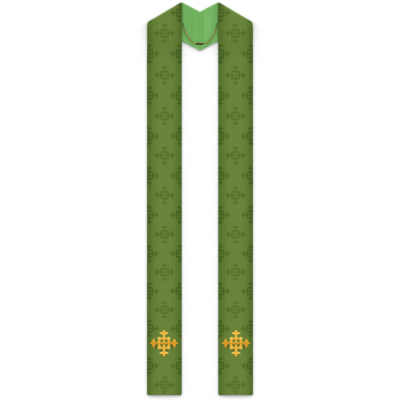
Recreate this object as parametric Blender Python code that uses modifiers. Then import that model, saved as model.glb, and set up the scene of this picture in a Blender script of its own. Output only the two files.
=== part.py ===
"""Clerical stole laid out flat, folded over at each shoulder.

Two mirrored halves. Each is one strip of lined cloth that starts at the centre-back
seam with its lining up, turns over at the shoulder fold and runs down to the hem with
its face up, partly on top of its own back part. A fine chain with a screw clasp lies
across the neck, and a padded gold cross is sewn above each hem.

Frame: +X to the right, +Y from the hems to the shoulders, +Z up off the surface it
lies on. The origin is at the middle of the underside. Metres throughout.
"""
import math

import bmesh
import bpy
from mathutils import Vector

MM = 0.001

# ---- driving sizes of the whole stole
LENGTH = 1337.6 * MM            # hem to the top of the shoulder fold
PANEL_WIDTH = 120.0 * MM        # each front
PANEL_GAP = 122.2 * MM          # between the fronts' inner edges
FOLD_SLOPE = math.radians(30.6)  # shoulder fold against the hem's direction
SEAM_TOP_Y = 636.2 * MM         # centre-back seam, upper end
SEAM_LOW_Y = 503.9 * MM         # centre-back seam, lower end
NECK_NARROWING = 2.0 * MM       # the neck is this much narrower, along the fold
SEAM_GAP = 0.3 * MM             # between sewn pieces

# ---- the cloth, by height above the outside of the lining
LINING_THICK = 1.0 * MM
FACE_UNDER = LINING_THICK + SEAM_GAP
CLOTH_THICK = 2.4 * MM          # lining, gap and face together, at the edges
CROWN_RISE = 0.9 * MM           # extra loft along the middle of each front
EDGE_LOW = 1.8 * MM             # height of the face's skin at its very edge
EDGE_ROUND = 3.0 * MM           # the skin rounds over within this of an edge
HEM_CORNER = 6.0 * MM           # radius of the hem corners
LINING_INSET = 0.4 * MM

# ---- the shoulder fold and the step where the front leaves the back
FOLD_INNER_RADIUS = 1.0 * MM
FOLD_OUTER_RADIUS = FOLD_INNER_RADIUS + CLOTH_THICK
FOLD_MID_RADIUS = FOLD_INNER_RADIUS + CLOTH_THICK / 2
CORNER_EASE = 1.8 * MM          # softens the fold's two corners
PEAK_DROP = 0.5 * MM            # the rounded edge lowers the fold's peak by this
LAYER_GAP = 0.4 * MM            # between the front and the back part under it
STEP_START = 5.0 * MM           # past the back part's lower edge
STEP_END = 50.0 * MM
SETTLE = 25.0 * MM              # the fold's spring dies away over this
CROWN_START = 150.0 * MM        # the front's loft is full this far from the fold

# ---- where the sections lie: shares of the way along each stretch
BACK_ROWS = [0.0, 0.25, 0.5, 0.75, 0.92]
BEND_DEGREES = [0, 30, 60, 90, 120, 150, 180]
FRONT_ROWS_MM = [5, 12, 20, 30, 41, 52, 63, 74, 85, 96, 107, 118, 129, 140, 151, 162, 174,
                 188, 206, 232, 300, 430, 580, 730, 880, 1030, 1160]
HEM_ROWS_MM = [6.0, 3.0, 0.9, 0.0]      # from the hem
ACROSS_MM = [14, 28, 44, 60, 76, 92, 106]
EDGE_ACROSS_MM = [0.0, 0.8, 3.0]        # rounded edge of the face, each side

# ---- the embroidered crosses
CROSS_CENTRE_Y = -491.2 * MM
CROSS_OUTWARD = 1.0 * MM        # off the middle of the front
CROSS_THICK = 1.2 * MM
CROSS_LIFT = 0.3 * MM
# one quarter of the outline, from the upper tip round to the side tip
CROSS_QUARTER_MM = [
    # (across, up)   upper head
    (3.0, 43.4), (4.6, 39.4), (10.5, 38.4), (15.4, 37.0), (15.6, 32.4), (10.5, 31.0),
    (5.8, 29.6), (4.4, 26.0), (4.8, 22.4),
    # ring and the small fleur on the diagonal
    (8.0, 20.0), (12.4, 19.8), (16.0, 21.4), (21.0, 20.2), (21.6, 15.6), (19.8, 12.0),
    (19.8, 7.6), (21.8, 4.0),
    # side head
    (26.0, 3.4), (29.4, 4.6), (31.2, 10.0), (33.0, 15.8), (36.8, 14.2), (39.8, 8.6),
    (43.8, 4.2)]
CROSS_TIP_UP = 45.6 * MM
CROSS_TIP_SIDE = 48.6 * MM
# one of the four leaf-shaped holes inside the ring
CROSS_HOLE_MM = [(5.0, 5.2), (9.0, 4.2), (12.8, 5.2), (12.4, 9.0), (9.6, 12.2), (6.0, 13.6),
                 (4.4, 10.0)]

# ---- the chain across the neck, on the lining
CHAIN_DIAMETER = 3.0 * MM
CHAIN_STEP = 7.0 * MM           # between the tube's sections
CLASP_LENGTH = 28.8 * MM        # between the ends of the two runs
CLASP_RADIUS = 2.8 * MM
CLASP_CLEAR = 0.4 * MM          # from each run's end
CLASP_CENTRE = (-0.5 * MM, 526.9 * MM)
EYE_RADIUS = 1.9 * MM
EYE_WIRE = 0.45 * MM
EYE_Y = 597.3 * MM
# the runs' own points, from the eye to the clasp, as they lie
CHAIN_LEFT_MM = [(-58.4, 594.3), (-56.4, 586.5), (-53.2, 576.2), (-49.8, 568.0), (-44.4, 559.0),
                 (-38.4, 549.2), (-32.4, 540.6), (-25.6, 533.2), (-20.0, 528.4), (-15.1, 526.9)]
CHAIN_RIGHT_MM = [(58.2, 594.3), (55.8, 587.4), (54.0, 579.4), (51.8, 570.6), (48.2, 562.4),
                  (40.6, 549.6), (34.6, 541.2), (26.8, 533.6), (19.4, 528.4), (14.1, 526.9)]
CHAIN_RISE = 10.0 * MM          # the chain climbs to the clasp's axis over this

COLOURS = {
    "damask": ((0.147, 0.235, 0.045, 1.0), 0.55, 0.0),
    "lining": ((0.162, 0.429, 0.112, 1.0), 0.42, 0.0),
    "gold_thread": ((0.95, 0.47, 0.05, 1.0), 0.45, 0.35),
    "copper": ((0.25, 0.07, 0.045, 1.0), 0.4, 0.9),
    "dark_copper": ((0.07, 0.032, 0.021, 1.0), 0.4, 0.9),
}


def clear_scene():
    for scene_object in list(bpy.data.objects):
        bpy.data.objects.remove(scene_object, do_unlink=True)


def make_collection(name):
    collection = bpy.data.collections.new(name)
    bpy.context.scene.collection.children.link(collection)
    return collection


def make_material(name):
    colour, roughness, metallic = COLOURS[name]
    material = bpy.data.materials.new(name)
    material.use_nodes = True
    shader = material.node_tree.nodes["Principled BSDF"]
    shader.inputs["Base Color"].default_value = colour
    shader.inputs["Roughness"].default_value = roughness
    shader.inputs["Metallic"].default_value = metallic
    material.diffuse_color = colour
    return material


def add_object(name, data, collection, material):
    piece = bpy.data.objects.new(name, data)
    collection.objects.link(piece)
    data.materials.clear()
    data.materials.append(material)
    return piece


def shade(mesh, degrees=40):
    mesh.shade_smooth()
    mesh.set_sharp_from_angle(angle=math.radians(degrees))


def mix(a, b, share):
    return a + (b - a) * share


def smooth_step(value, low, high):
    share = min(max((value - low) / (high - low), 0.0), 1.0)
    return share * share * (3 - 2 * share)


# ---------------------------------------------------------------- the strip's path
# All of this is the left half. The right half is its mirror image.
ALONG_FOLD = Vector((-math.cos(FOLD_SLOPE), -math.sin(FOLD_SLOPE), 0))
PAST_FOLD = Vector((-math.sin(FOLD_SLOPE), math.cos(FOLD_SLOPE), 0))
FOLD_LENGTH = PANEL_WIDTH / math.cos(FOLD_SLOPE)
BEND_LENGTH = math.pi * FOLD_MID_RADIUS
# the strip meets the fold at a slant, so it drifts along the fold as it turns over
BEND_DRIFT = BEND_LENGTH * math.tan(FOLD_SLOPE)
FOLD_START = Vector((
    -PANEL_GAP / 2 + math.cos(FOLD_SLOPE) * BEND_DRIFT,
    LENGTH / 2 + PEAK_DROP - math.cos(FOLD_SLOPE) * FOLD_OUTER_RADIUS
    + math.sin(FOLD_SLOPE) * ((NECK_NARROWING + BEND_DRIFT) / 2 + CORNER_EASE),
    0))


def fold_point(across, turned):
    """A point of the fold line; turned runs from 0 under the fold to 1 on top of it."""
    ease = CORNER_EASE * math.sin(math.pi * turned)
    along = mix(mix(NECK_NARROWING, 0.0, turned) + ease, FOLD_LENGTH - ease, across)
    return FOLD_START + ALONG_FOLD * (along + BEND_DRIFT * turned)


BACK_CORNER = fold_point(1.0, 0.0)
BACK_EDGE_SLOPE = (BACK_CORNER.y - SEAM_LOW_Y) / -BACK_CORNER.x


def past_back_edge(x, y):
    """How far a point lies below the lower edge of the back part, square to it."""
    edge_y = SEAM_LOW_Y - BACK_EDGE_SLOPE * x
    return (edge_y - y) / math.hypot(1.0, BACK_EDGE_SLOPE)


def front_underside(x, y, from_fold):
    """Height of the front's underside over the surface it lies on."""
    on_back = 1 - smooth_step(past_back_edge(x, y), STEP_START, STEP_END)
    spring = 2 * FOLD_INNER_RADIUS - LAYER_GAP
    return (CLOTH_THICK + LAYER_GAP) * on_back + spring * (1 - smooth_step(from_fold, 0, SETTLE))


def crown(across):
    return CROWN_RISE * (1 - (2 * across - 1) ** 4)


def rounded_edge(inward):
    """Height of the face's skin this far in from an edge, before its crown."""
    share = min(max(inward / EDGE_ROUND, 0.0), 1.0)
    return EDGE_LOW + (CLOTH_THICK - EDGE_LOW) * math.sqrt(1 - (1 - share) ** 2)


def strip_sections():
    """Rows from the centre-back seam to the hem: what stretch, how far, loft and hem distance."""
    rows = []
    for share in BACK_ROWS:
        rows.append({"stretch": "back", "at": share, "loft": 0.0, "from_hem": LENGTH})
    for degrees in BEND_DEGREES:
        rows.append({"stretch": "bend", "at": degrees / 180, "loft": 0.0, "from_hem": LENGTH})
    inner_run = front_run(0.0)
    for distance in FRONT_ROWS_MM:
        rows.append({"stretch": "front", "at": distance * MM / inner_run,
                     "loft": smooth_step(distance * MM, 0, CROWN_START),
                     "from_hem": inner_run - distance * MM})
    for distance in HEM_ROWS_MM:
        rows.append({"stretch": "front", "at": 1 - distance * MM / inner_run, "loft": 1.0,
                     "from_hem": distance * MM})
    return rows


def front_top_y(across):
    return fold_point(across, 1.0).y


def front_run(across):
    return front_top_y(across) + LENGTH / 2


def strip_point(row, across, height):
    """A point of the strip: across from its inner edge (0) to its outer edge (1)."""
    if row["stretch"] == "back":
        seam = Vector((-SEAM_GAP / 2, mix(SEAM_TOP_Y, SEAM_LOW_Y, across), 0))
        point = mix(seam, fold_point(across, 0.0), row["at"])
        point.z = CLOTH_THICK - height
        return point
    if row["stretch"] == "bend":
        angle = math.pi * row["at"]
        radius = FOLD_INNER_RADIUS + height
        point = fold_point(across, row["at"]) + PAST_FOLD * (radius * math.sin(angle))
        point.z = CLOTH_THICK + FOLD_INNER_RADIUS - radius * math.cos(angle)
        return point
    x = -PANEL_GAP / 2 - PANEL_WIDTH * across
    y = mix(front_top_y(across), -LENGTH / 2, row["at"])
    from_fold = row["at"] * front_run(across) * math.cos(FOLD_SLOPE)
    return Vector((x, y, front_underside(x, y, from_fold) + height))


def corner_inset(from_hem):
    """How far a rounded hem corner draws the edge in, this far above the hem."""
    if from_hem >= HEM_CORNER:
        return 0.0
    return HEM_CORNER - math.sqrt(HEM_CORNER ** 2 - (HEM_CORNER - from_hem) ** 2)


def across_positions(edge_points):
    """Distances from the inner edge: an edge's points, the inner columns, the edge mirrored."""
    outer = [PANEL_WIDTH - distance for distance in reversed(edge_points)]
    return edge_points + [distance * MM for distance in ACROSS_MM] + outer


def face_rows():
    top, bottom = [], []
    columns = across_positions([distance * MM for distance in EDGE_ACROSS_MM])
    for row in strip_sections():
        inset = corner_inset(row["from_hem"])
        top_row, bottom_row = [], []
        for distance in columns:
            inward = min(distance, PANEL_WIDTH - distance, row["from_hem"])
            across = (inset + distance * (1 - 2 * inset / PANEL_WIDTH)) / PANEL_WIDTH
            skin = rounded_edge(inward) + crown(across) * row["loft"]
            top_row.append(strip_point(row, across, skin))
            bottom_row.append(strip_point(row, across, FACE_UNDER))
        top.append(top_row)
        bottom.append(bottom_row)
    return top, bottom


def lining_rows():
    top, bottom = [], []
    columns = across_positions([LINING_INSET])
    for row in strip_sections():
        inset = corner_inset(row["from_hem"])
        short_row = dict(row)
        if row["stretch"] == "front":
            short_row["at"] = min(row["at"], 1 - LINING_INSET / front_run(0.0))
        top_row, bottom_row = [], []
        for distance in columns:
            across = (inset + distance * (1 - 2 * inset / PANEL_WIDTH)) / PANEL_WIDTH
            top_row.append(strip_point(short_row, across, LINING_THICK))
            bottom_row.append(strip_point(short_row, across, 0.0))
        top.append(top_row)
        bottom.append(bottom_row)
    return top, bottom


def wall_between(name, top, bottom, side, collection, material):
    """One closed wall between two matching grids; side is -1 for the left half, 1 for the right."""
    shell = bmesh.new()
    row_count, column_count = len(top), len(top[0])

    def add_grid(grid):
        return [[shell.verts.new((-side * p.x, p.y, p.z)) for p in row] for row in grid]

    upper, lower = add_grid(top), add_grid(bottom)
    for grid in (upper, lower):
        for r in range(row_count - 1):
            for c in range(column_count - 1):
                shell.faces.new((grid[r][c], grid[r][c + 1], grid[r + 1][c + 1], grid[r + 1][c]))
    for r in range(row_count - 1):
        for c in (0, column_count - 1):
            shell.faces.new((upper[r][c], upper[r + 1][c], lower[r + 1][c], lower[r][c]))
    for c in range(column_count - 1):
        for r in (0, row_count - 1):
            shell.faces.new((upper[r][c], upper[r][c + 1], lower[r][c + 1], lower[r][c]))
    bmesh.ops.recalc_face_normals(shell, faces=shell.faces)
    mesh = bpy.data.meshes.new(name)
    shell.to_mesh(mesh)
    shell.free()
    shade(mesh)
    return add_object(name, mesh, collection, material)


# ---------------------------------------------------------------- the crosses
def quarter_to_whole(quarter, tip_up, tip_side):
    """The whole outline, anticlockwise from the right tip, out of the first quarter's points."""
    up_left = [(-x, y) for x, y in quarter]
    down_left = [(-x, -y) for x, y in reversed(quarter)]
    down_right = [(x, -y) for x, y in quarter]
    up_right = list(reversed(quarter))
    return ([(tip_side, 0.0)] + up_right + [(0.0, tip_up)] + up_left
            + [(-tip_side, 0.0)] + down_left + [(0.0, -tip_up)] + down_right)


def add_outline(curve, points):
    spline = curve.splines.new("POLY")
    spline.points.add(len(points) - 1)
    for point, (x, y) in zip(spline.points, points):
        point.co = (x, y, 0, 1)
    spline.use_cyclic_u = True


def skin_height(distance_across):
    """Height of the face's skin in the flat run of a front, between the same columns."""
    columns = across_positions([distance * MM for distance in EDGE_ACROSS_MM])
    heights = [rounded_edge(min(column, PANEL_WIDTH - column)) + crown(column / PANEL_WIDTH)
               for column in columns]
    for i in range(len(columns) - 1):
        if columns[i] <= distance_across <= columns[i + 1]:
            share = (distance_across - columns[i]) / (columns[i + 1] - columns[i])
            return mix(heights[i], heights[i + 1], share)
    return heights[-1]


def make_cross(name, side, collection, material):
    quarter = [(x * MM, y * MM) for x, y in CROSS_QUARTER_MM]
    hole = [(x * MM, y * MM) for x, y in CROSS_HOLE_MM]
    curve = bpy.data.curves.new(name + "_outline", "CURVE")
    curve.dimensions = "2D"
    curve.fill_mode = "BOTH"
    curve.extrude = CROSS_THICK / 2
    add_outline(curve, quarter_to_whole(quarter, CROSS_TIP_UP, CROSS_TIP_SIDE))
    for flip_x in (1, -1):
        for flip_y in (1, -1):
            add_outline(curve, [(x * flip_x, y * flip_y) for x, y in hole])
    flat = bpy.data.objects.new(name + "_outline", curve)
    collection.objects.link(flat)
    bpy.context.view_layer.update()
    graph = bpy.context.evaluated_depsgraph_get()
    mesh = bpy.data.meshes.new_from_object(flat.evaluated_get(graph))
    bpy.data.objects.remove(flat, do_unlink=True)

    centre_across = PANEL_WIDTH / 2 + CROSS_OUTWARD
    shape = bmesh.new()
    shape.from_mesh(mesh)
    bmesh.ops.remove_doubles(shape, verts=shape.verts, dist=0.01 * MM)
    for distance in ACROSS_MM:
        everything = shape.verts[:] + shape.edges[:] + shape.faces[:]
        bmesh.ops.bisect_plane(shape, geom=everything, dist=0.001 * MM,
                               plane_co=(side * (distance * MM - centre_across), 0, 0),
                               plane_no=(1, 0, 0))
    centre_x = side * (PANEL_GAP / 2 + centre_across)
    for vert in shape.verts:
        lift = skin_height(centre_across + side * vert.co.x) + CROSS_LIFT + CROSS_THICK / 2
        vert.co += Vector((centre_x, CROSS_CENTRE_Y, lift))
    bmesh.ops.recalc_face_normals(shape, faces=shape.faces)
    shape.to_mesh(mesh)
    shape.free()
    shade(mesh)
    return add_object(name, mesh, collection, material)


# ---------------------------------------------------------------- the chain
def smooth_route(points, spacing):
    """Evenly spaced points on a smooth curve through the route's own points."""
    ends = [points[0] * 2 - points[1]] + points + [points[-1] * 2 - points[-2]]
    fine = []
    steps = 24
    for i in range(1, len(ends) - 2):
        before, here, there, after = ends[i - 1:i + 3]
        for k in range(steps):
            t = k / steps
            fine.append(0.5 * (2 * here + (there - before) * t
                               + (2 * before - 5 * here + 4 * there - after) * t ** 2
                               + (3 * here - before - 3 * there + after) * t ** 3))
    fine.append(points[-1])
    run = [0.0]
    for i in range(1, len(fine)):
        run.append(run[-1] + (fine[i] - fine[i - 1]).length)
    count = max(2, round(run[-1] / spacing))
    route, i = [], 0
    for k in range(count + 1):
        target = run[-1] * k / count
        while i < len(run) - 2 and run[i + 1] < target:
            i += 1
        share = (target - run[i]) / (run[i + 1] - run[i])
        route.append(mix(fine[i], fine[i + 1], min(share, 1.0)))
    return route


def make_chain(name, points_mm, collection, material):
    on_lining = CLOTH_THICK + SEAM_GAP + CHAIN_DIAMETER / 2
    at_clasp = CLOTH_THICK + SEAM_GAP + CLASP_RADIUS
    end = Vector((points_mm[-1][0] * MM, points_mm[-1][1] * MM, 0))
    points = []
    for x, y in points_mm:
        flat = Vector((x * MM, y * MM, 0))
        rise = 1 - smooth_step((flat - end).length, 0, CHAIN_RISE)
        flat.z = mix(on_lining, at_clasp, rise)
        points.append(flat)
    route = smooth_route(points, CHAIN_STEP)
    curve = bpy.data.curves.new(name, "CURVE")
    curve.dimensions = "3D"
    curve.bevel_depth = CHAIN_DIAMETER / 2
    curve.bevel_resolution = 2
    curve.use_fill_caps = True
    spline = curve.splines.new("POLY")
    spline.points.add(len(route) - 1)
    for point, place in zip(spline.points, route):
        point.co = (place.x, place.y, place.z, 1)
    spline.use_smooth = True
    return add_object(name, curve, collection, material)


def make_clasp(collection, material):
    """A screw barrel: a waist in the middle, a tapered ferrule at each end."""
    half = CLASP_LENGTH / 2 - CLASP_CLEAR
    profile = [
        # (radius, along)
        (0.0, half), (1.1 * MM, half), (1.7 * MM, half - 1.0 * MM), (CLASP_RADIUS, half - 3.0 * MM),
        (CLASP_RADIUS, 1.0 * MM), (2.2 * MM, 0.5 * MM)]
    points = profile + [(radius, -along) for radius, along in reversed(profile)]
    mesh = bpy.data.meshes.new("chain_clasp")
    edges = [(i, i + 1) for i in range(len(points) - 1)]
    mesh.from_pydata([(radius, 0, along) for radius, along in points], edges, [])
    clasp = add_object("chain_clasp", mesh, collection, material)
    screw = clasp.modifiers.new("turn", "SCREW")
    screw.steps = 14
    screw.render_steps = 14
    screw.use_merge_vertices = True
    screw.merge_threshold = 0.00001
    screw.use_smooth_shade = True
    clasp.rotation_euler = (0, math.pi / 2, 0)
    clasp.location = (CLASP_CENTRE[0], CLASP_CENTRE[1], CLOTH_THICK + SEAM_GAP + CLASP_RADIUS)
    return clasp


def make_eye(name, side, collection, material):
    """A small ring just inside a front's inner edge, at half the cloth's height."""
    bpy.ops.mesh.primitive_torus_add(major_radius=EYE_RADIUS, minor_radius=EYE_WIRE,
                                     major_segments=20, minor_segments=8)
    eye = bpy.context.active_object
    eye.name = name
    eye.data.name = name
    for owner in list(eye.users_collection):
        owner.objects.unlink(eye)
    collection.objects.link(eye)
    eye.data.materials.append(material)
    shade(eye.data, 60)
    reach = EYE_RADIUS + EYE_WIRE + SEAM_GAP
    eye.location = (side * (PANEL_GAP / 2 - reach), EYE_Y,
                    CLOTH_THICK + SEAM_GAP + CHAIN_DIAMETER / 2)
    return eye


def main():
    clear_scene()
    stole = make_collection("clerical_stole")
    materials = {name: make_material(name) for name in COLOURS}
    for side, half in ((-1, "left"), (1, "right")):
        face_top, face_bottom = face_rows()
        lining_top, lining_bottom = lining_rows()
        wall_between("face_" + half, face_top, face_bottom, side, stole, materials["damask"])
        wall_between("lining_" + half, lining_top, lining_bottom, side, stole, materials["lining"])
        make_cross("cross_" + half, side, stole, materials["gold_thread"])
        make_eye("chain_eye_" + half, side, stole, materials["copper"])
    make_chain("chain_left", CHAIN_LEFT_MM, stole, materials["copper"])
    make_chain("chain_right", CHAIN_RIGHT_MM, stole, materials["copper"])
    make_clasp(stole, materials["dark_copper"])


main()
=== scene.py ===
import math

import bmesh
import bpy
from mathutils import Matrix, Vector


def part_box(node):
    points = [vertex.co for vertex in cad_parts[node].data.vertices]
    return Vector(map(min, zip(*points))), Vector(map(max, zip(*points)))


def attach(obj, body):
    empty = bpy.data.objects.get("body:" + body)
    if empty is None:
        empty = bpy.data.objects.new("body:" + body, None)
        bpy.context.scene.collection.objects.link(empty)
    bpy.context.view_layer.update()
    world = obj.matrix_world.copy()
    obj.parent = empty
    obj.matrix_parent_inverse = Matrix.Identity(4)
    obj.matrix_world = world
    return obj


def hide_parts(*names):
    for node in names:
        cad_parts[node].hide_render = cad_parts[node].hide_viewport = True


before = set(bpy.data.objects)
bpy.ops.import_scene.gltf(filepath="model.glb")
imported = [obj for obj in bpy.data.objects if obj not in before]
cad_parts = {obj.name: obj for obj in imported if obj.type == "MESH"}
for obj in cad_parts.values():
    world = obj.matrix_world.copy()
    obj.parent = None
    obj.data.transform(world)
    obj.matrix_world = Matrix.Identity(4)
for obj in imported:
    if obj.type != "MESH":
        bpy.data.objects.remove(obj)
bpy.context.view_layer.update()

# everything is in metres: +X to the right, +Y from the hems to the shoulders, +Z up off the surface
mm = 0.001
halves = {"left": -1, "right": 1}

# how each half was cut, and how it lies on the surface
cut = {
    "reach": 1337.6 * mm,         # hem to the top of the shoulder fold
    "width": 120.0 * mm,          # of each front
    "gap": 122.2 * mm,            # between the fronts
    "foldSlope": math.radians(30.6),
    "seamTopY": 636.2 * mm,       # centre-back seam, upper end
    "seamLowY": 503.9 * mm,       # centre-back seam, lower end
    "neckNarrowing": 2.0 * mm,    # the neck is this much narrower, along the fold
    "seamGap": 0.3 * mm,
    "thick": 2.4 * mm,            # lining and face together
    "crownRise": 0.9 * mm,        # extra loft along the middle of each front
    "crownStart": 150.0 * mm,     # the loft is full this far from the fold
    "edgeLow": 1.8 * mm,          # height of the face at its very edge
    "edgeRound": 3.0 * mm,
    "hemCorner": 6.0 * mm,
    "quietEdge": 12.0 * mm,       # creases die out this near an edge
    "hemDraw": 0.3 * mm,          # the sewing draws the hem up by this
    "neckRaise": 0.6 * mm,        # the back of the neck stands up by this in the middle
    "foldInner": 1.0 * mm,        # radius inside the shoulder fold
    "cornerEase": 1.8 * mm,
    "peakDrop": 0.5 * mm,
    "layerGap": 0.4 * mm,         # between a front and the back part under it
    "stepStart": 5.0 * mm,        # the front comes down off the back part's lower edge
    "stepEnd": 80.0 * mm,
    "settle": 150.0 * mm,         # the fold's spring dies away over this
    "shoulderRound": 2.4 * mm,    # the fold's outer corner is pulled in by this
    "roundAcross": 30.0 * mm,     # over so much of the fold
    "roundDown": 14.0 * mm,       # and so much of each side below it
}


def mix(first, second, share):
    return first + (second - first) * share


def smoothStep(value, low, high):
    share = min(max((value - low) / (high - low), 0.0), 1.0)
    return share * share * (3 - 2 * share)


def softHump(distance, reach):
    # 1 in the middle, falling smoothly to 0 at reach
    return 0.5 + 0.5 * math.cos(math.pi * min(abs(distance) / reach, 1.0))


def meshOf(name, shape, smoothAngle=None):
    mesh = bpy.data.meshes.new(name)
    shape.to_mesh(mesh)
    shape.free()
    mesh.shade_smooth()
    if smoothAngle is not None:
        mesh.set_sharp_from_angle(angle=math.radians(smoothAngle))
    return mesh


def addPiece(name, shape, material, smoothAngle=None):
    piece = bpy.data.objects.new(name, meshOf(name, shape, smoothAngle))
    bpy.context.scene.collection.objects.link(piece)
    piece.data.materials.append(material)
    return piece


def thicken(piece, name, thickness):
    wall = piece.modifiers.new(name, "SOLIDIFY")
    wall.thickness = thickness
    wall.offset = -1


# ---- the camera looks straight down on the stole
cameraView = {
    "height": 7.5644,
    "aimY": -4.136 * mm,
    "lens": 200.0,
    "sensor": 36.0,
    "farthest": 60.0,
}


def makeCamera():
    data = bpy.data.cameras.new("overheadCamera")
    data.lens = cameraView["lens"]
    data.sensor_width = cameraView["sensor"]
    data.clip_end = cameraView["farthest"]
    camera = bpy.data.objects.new("overheadCamera", data)
    camera.location = (0, cameraView["aimY"], cameraView["height"])
    bpy.context.scene.collection.objects.link(camera)
    bpy.context.scene.camera = camera


makeCamera()
print("camera placed")


# ---- small helpers for materials
white = (1, 1, 1, 1)
socketKinds = {type(None): "NodeSocketVector", float: "NodeSocketFloat", tuple: "NodeSocketColor"}
atWork = {}     # "tree" is the node tree that the helpers add to


def newNode(kind, **settings):
    node = atWork["tree"].nodes.new(kind)
    for name, value in settings.items():
        setattr(node, name, value)
    return node


def feed(socket, value):
    if isinstance(value, bpy.types.NodeSocket):
        atWork["tree"].links.new(value, socket)
    else:
        socket.default_value = value


def feedAll(sockets, values):
    for name, value in values.items():
        feed(sockets[name], value)


def outputsOf(node, **inputs):
    feedAll(node.inputs, inputs)
    return node.outputs


def calc(operation, *values, clamp=False):
    node = newNode("ShaderNodeMath", operation=operation, use_clamp=clamp)
    for socket, value in zip(node.inputs, values):
        feed(socket, value)
    return node.outputs[0]


def scaled(value, factor, added=None, clamp=False):
    if added is None:
        return calc("MULTIPLY", value, factor, clamp=clamp)
    return calc("MULTIPLY_ADD", value, factor, added, clamp=clamp)


def rounds(count, wave="SINE"):
    # a row of round threads, one for each whole count
    return calc("ABSOLUTE", calc(wave, scaled(count, math.pi)))


def blendColours(share, first, second, mode="MIX"):
    node = newNode("ShaderNodeMix", data_type="RGBA", blend_type=mode)
    for place, value in ((0, share), (6, first), (7, second)):
        feed(node.inputs[place], value)
    return node.outputs[2]


def tinted(first, second):
    return blendColours(1.0, first, second, "MULTIPLY")


def greyOf(level):
    return outputsOf(newNode("ShaderNodeCombineColor"), Red=level, Green=level, Blue=level)[0]


def axesOf(vector):
    return outputsOf(newNode("ShaderNodeSeparateXYZ"), Vector=vector)


def attributeOf(name):
    return newNode("ShaderNodeAttribute", attribute_name=name).outputs["Fac"]


def mapOf(name):
    return newNode("ShaderNodeUVMap", uv_map=name).outputs[0]


def objectPlace():
    return newNode("ShaderNodeTexCoord").outputs["Object"]


def randomOf(number):
    return outputsOf(newNode("ShaderNodeTexWhiteNoise", noise_dimensions="1D"), W=number)["Value"]


def noiseAt(vector, scale, detail):
    # three scales stretch the noise along the axes
    if isinstance(scale, tuple):
        node = newNode("ShaderNodeVectorMath", operation="MULTIPLY")
        feed(node.inputs[0], vector)
        node.inputs[1].default_value = scale
        vector, scale = node.outputs[0], 1.0
    noise = newNode("ShaderNodeTexNoise")
    return outputsOf(noise, Vector=vector, Scale=scale, Detail=detail)["Fac"]


def bumpOf(height, relief, **normal):
    strength, depth = relief
    bump = newNode("ShaderNodeBump")
    return outputsOf(bump, Height=height, Strength=strength, Distance=depth, **normal)[0]


def curved(value, points):
    # points run from 0 to 1 both ways
    node = newNode("ShaderNodeFloatCurve")
    curve = node.mapping.curves[0]
    while len(curve.points) < len(points):
        curve.points.new(0.5, 0.5)
    for point, place in zip(curve.points, points):
        point.location = place
        point.handle_type = "VECTOR"
    node.mapping.update()
    return outputsOf(node, Value=value)["Value"]


def newGroup(name, inputs, outputs):
    # a value sets its socket's kind: nothing is a vector, a number a float and four a colour
    tree = bpy.data.node_groups.new(name, "ShaderNodeTree")
    for direction, sockets in (("INPUT", inputs), ("OUTPUT", outputs)):
        for socketName, value in sockets.items():
            socket = tree.interface.new_socket(name=socketName, in_out=direction,
                                               socket_type=socketKinds[type(value)])
            if value is not None:
                socket.default_value = value
    atWork["tree"] = tree
    return tree, newNode("NodeGroupInput").outputs, newNode("NodeGroupOutput").inputs


def useGroup(group, **inputs):
    return outputsOf(newNode("ShaderNodeGroup", node_tree=group), **inputs)


def newMaterial(name, colour, constants):
    material = bpy.data.materials.new(name)
    material.use_nodes = True
    material.diffuse_color = colour
    atWork["tree"] = material.node_tree
    shader = material.node_tree.nodes["Principled BSDF"].inputs
    feedAll(shader, {"Base Color": colour, **constants})
    return material, shader


# threads of a satin weave: warp threads run along the cloth, weft threads across it
def makeWeaveGroup():
    tree, given, out = newGroup(
        "satinWeave", {"Cloth": None, "WarpPitch": 0.0003, "WeftPitch": 0.0004, "WeftFace": 0.0},
        {"Height": 0.0, "Tone": 0.0})
    place = axesOf(given["Cloth"])
    across = calc("DIVIDE", place["X"], given["WarpPitch"])
    along = calc("DIVIDE", place["Y"], given["WeftPitch"])
    warp, weft = rounds(across), rounds(along)
    # one crossing in five is tied down, three threads further on in each row
    thread, pick = calc("FLOOR", across), calc("FLOOR", along)
    order = calc("FLOORED_MODULO", scaled(thread, 3.0, pick), 5.0)
    tied = calc("LESS_THAN", order, 0.5)
    sunk = 0.7                     # height of the thread on top where the other one is tied down
    onWarp, onWeft = [
        scaled(tied, calc("SUBTRACT", scaled(other, sunk), own), own)
        for own, other in ((warp, weft), (weft, warp))]
    turned = calc("SUBTRACT", onWeft, onWarp)
    feed(out["Height"], scaled(turned, given["WeftFace"], onWarp))
    slub = noiseAt(given["Cloth"], (900.0, 30.0, 1.0), 3.0)
    feed(out["Tone"], scaled(randomOf(thread), 0.4, scaled(slub, 0.6)))
    return tree


# painted shade towards an edge that is turned over its padding, painted light on the lining's edges,
# and painted shade where a front's edge lies on the cloth
def makeEdgeGroup():
    tree, given, out = newGroup(
        "paintedEdgeLightAndShade", {"Distance": 0.0, "Fade": 0.03, "EdgeColour": (0.6, 0.64, 0.5, 1),
                       "Contact": 0.0, "ContactColour": (0.7, 0.7, 0.7, 1)}, {"Shade": white})
    share = calc("DIVIDE", given["Distance"], given["Fade"], clamp=True)
    toOpen = curved(share, [(0.0, 0.0), (0.2, 0.0), (0.33, 0.27), (0.48, 0.5), (0.65, 0.69),
                            (0.82, 0.87), (1.0, 1.0)])
    paintedEdgeTone = blendColours(toOpen, given["EdgeColour"], white)
    paintedContactTone = blendColours(given["Contact"], white, given["ContactColour"])
    feed(out["Shade"], tinted(paintedEdgeTone, paintedContactTone))
    return tree


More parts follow.
